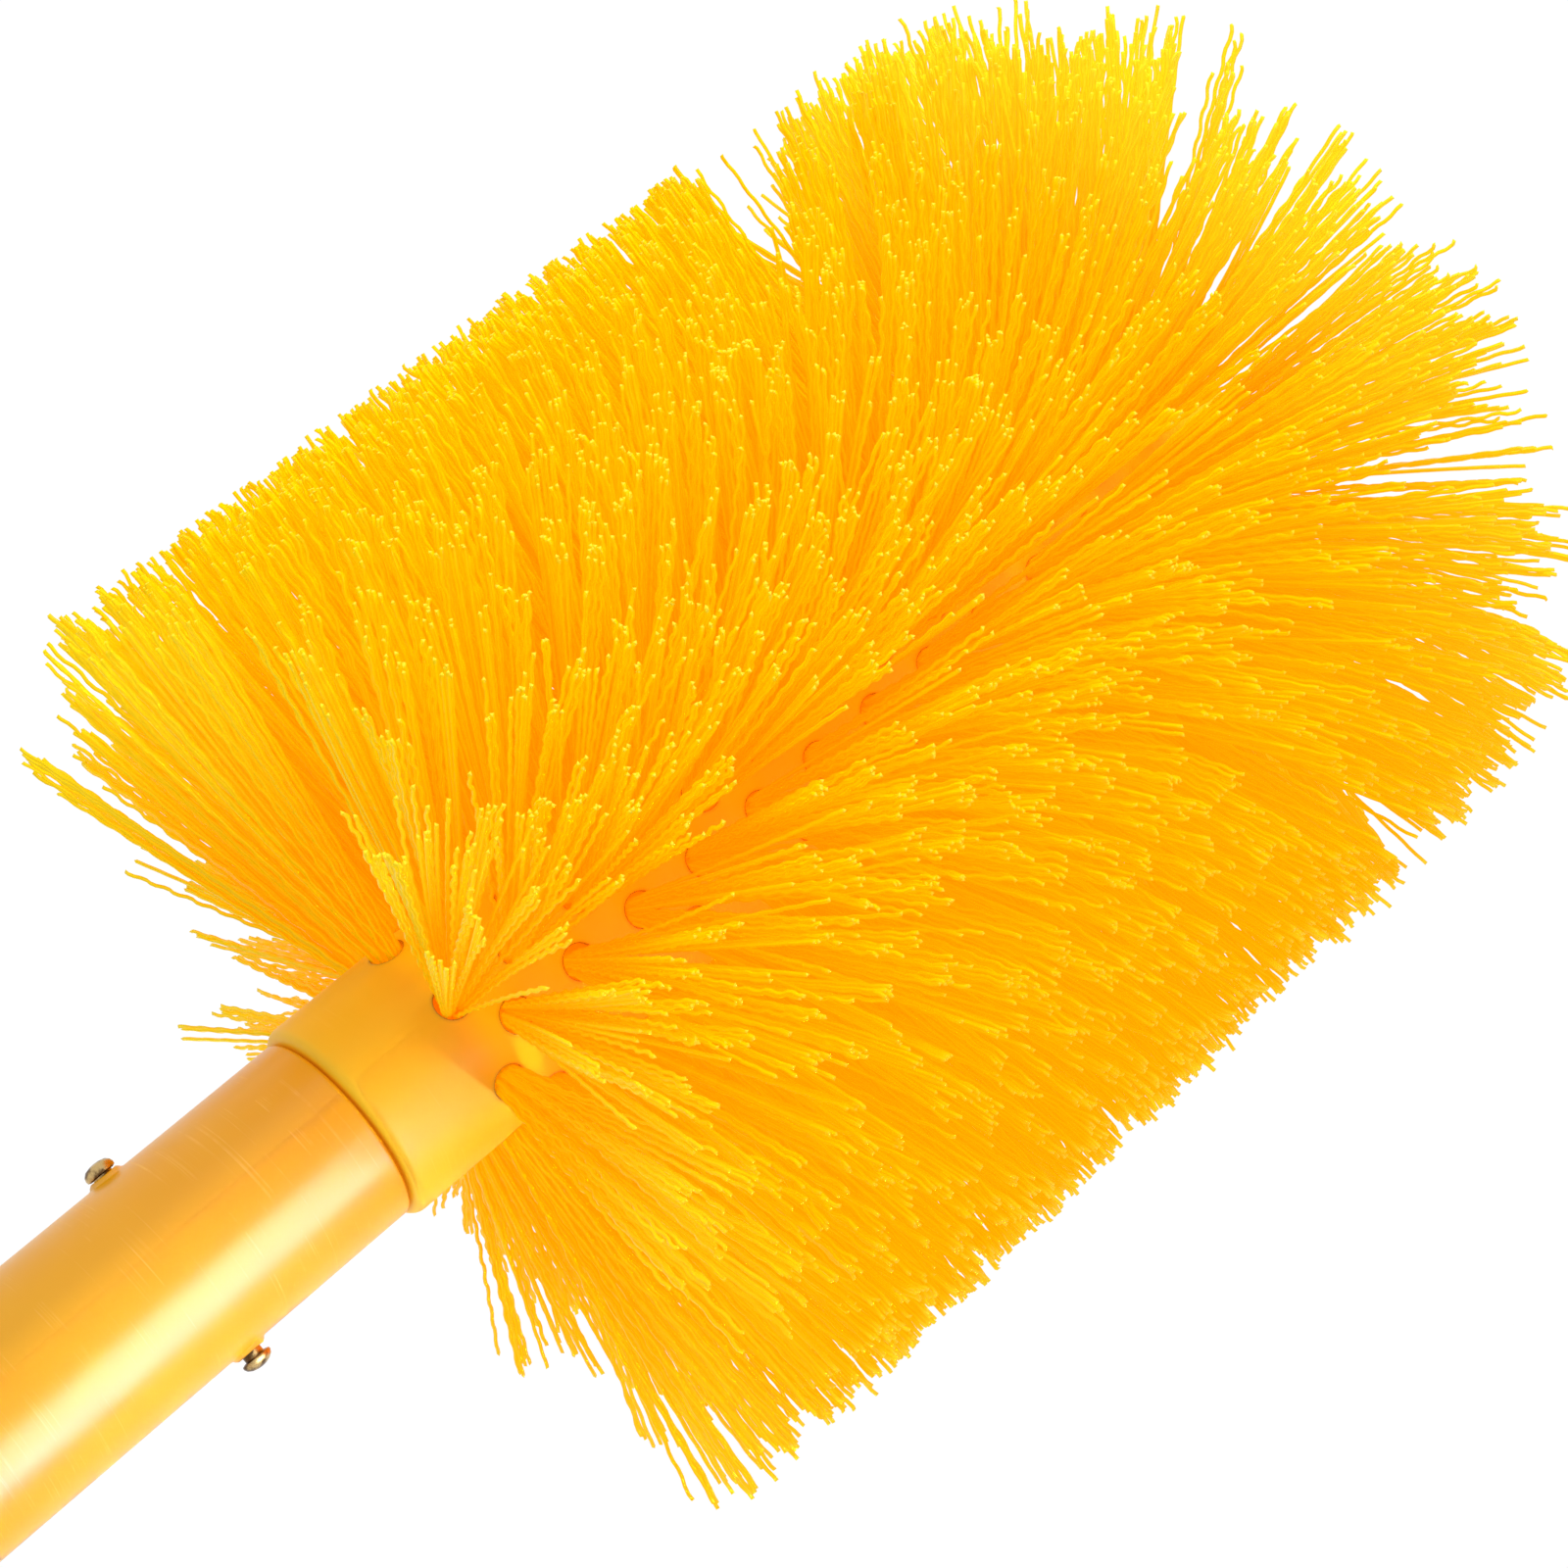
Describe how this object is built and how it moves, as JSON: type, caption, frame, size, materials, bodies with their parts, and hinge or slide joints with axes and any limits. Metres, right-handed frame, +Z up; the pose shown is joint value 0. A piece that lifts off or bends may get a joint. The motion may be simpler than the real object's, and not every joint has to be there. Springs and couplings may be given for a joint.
{
  "type": "valve brush",
  "caption": "Long straight tube handle with a round brush head of crimped filament tufts set in staggered rings, and a hanging hole.",
  "frame": {"origin": "centre of the hanging hole near the free end of the handle", "axes": "+Z up along the handle from head to free end, so the head hangs below; +Y along the hanging hole; +X along the rivet"},
  "size_m": [0.1318, 0.132, 0.7679],
  "materials": {
    "tube_plastic": "glossy yellow plastic tube with a satin sheen",
    "block_plastic": "smooth turned yellow plastic, satin",
    "brass": "brass rivet with headed ends",
    "filament": "crimped yellow polyester filament, slightly see-through"
  },
  "bodies": {
    "root": {"handle_tube": "tube_plastic", "end_plug": "block_plastic", "brush_block": "block_plastic", "rivet": "brass", "tuft_ring_01": "filament", "tuft_ring_02": "filament", "tuft_ring_03": "filament", "tuft_ring_04": "filament", "tuft_ring_05": "filament", "tuft_ring_06": "filament", "tuft_ring_07": "filament", "tuft_ring_08": "filament", "tuft_ring_09": "filament", "tuft_ring_10": "filament", "tuft_ring_11": "filament", "tuft_ring_12": "filament", "tuft_ring_13": "filament", "tuft_ring_14": "filament", "tuft_ring_15": "filament", "tuft_ring_16": "filament", "tuft_ring_17": "filament", "tuft_ring_18": "filament", "tuft_ring_19": "filament", "tuft_ring_20": "filament", "tuft_ring_21": "filament", "tuft_ring_22": "filament", "tuft_ring_23": "filament", "tuft_ring_24": "filament", "tuft_ring_25": "filament", "tuft_ring_26": "filament"}
  },
  "joints": []
}
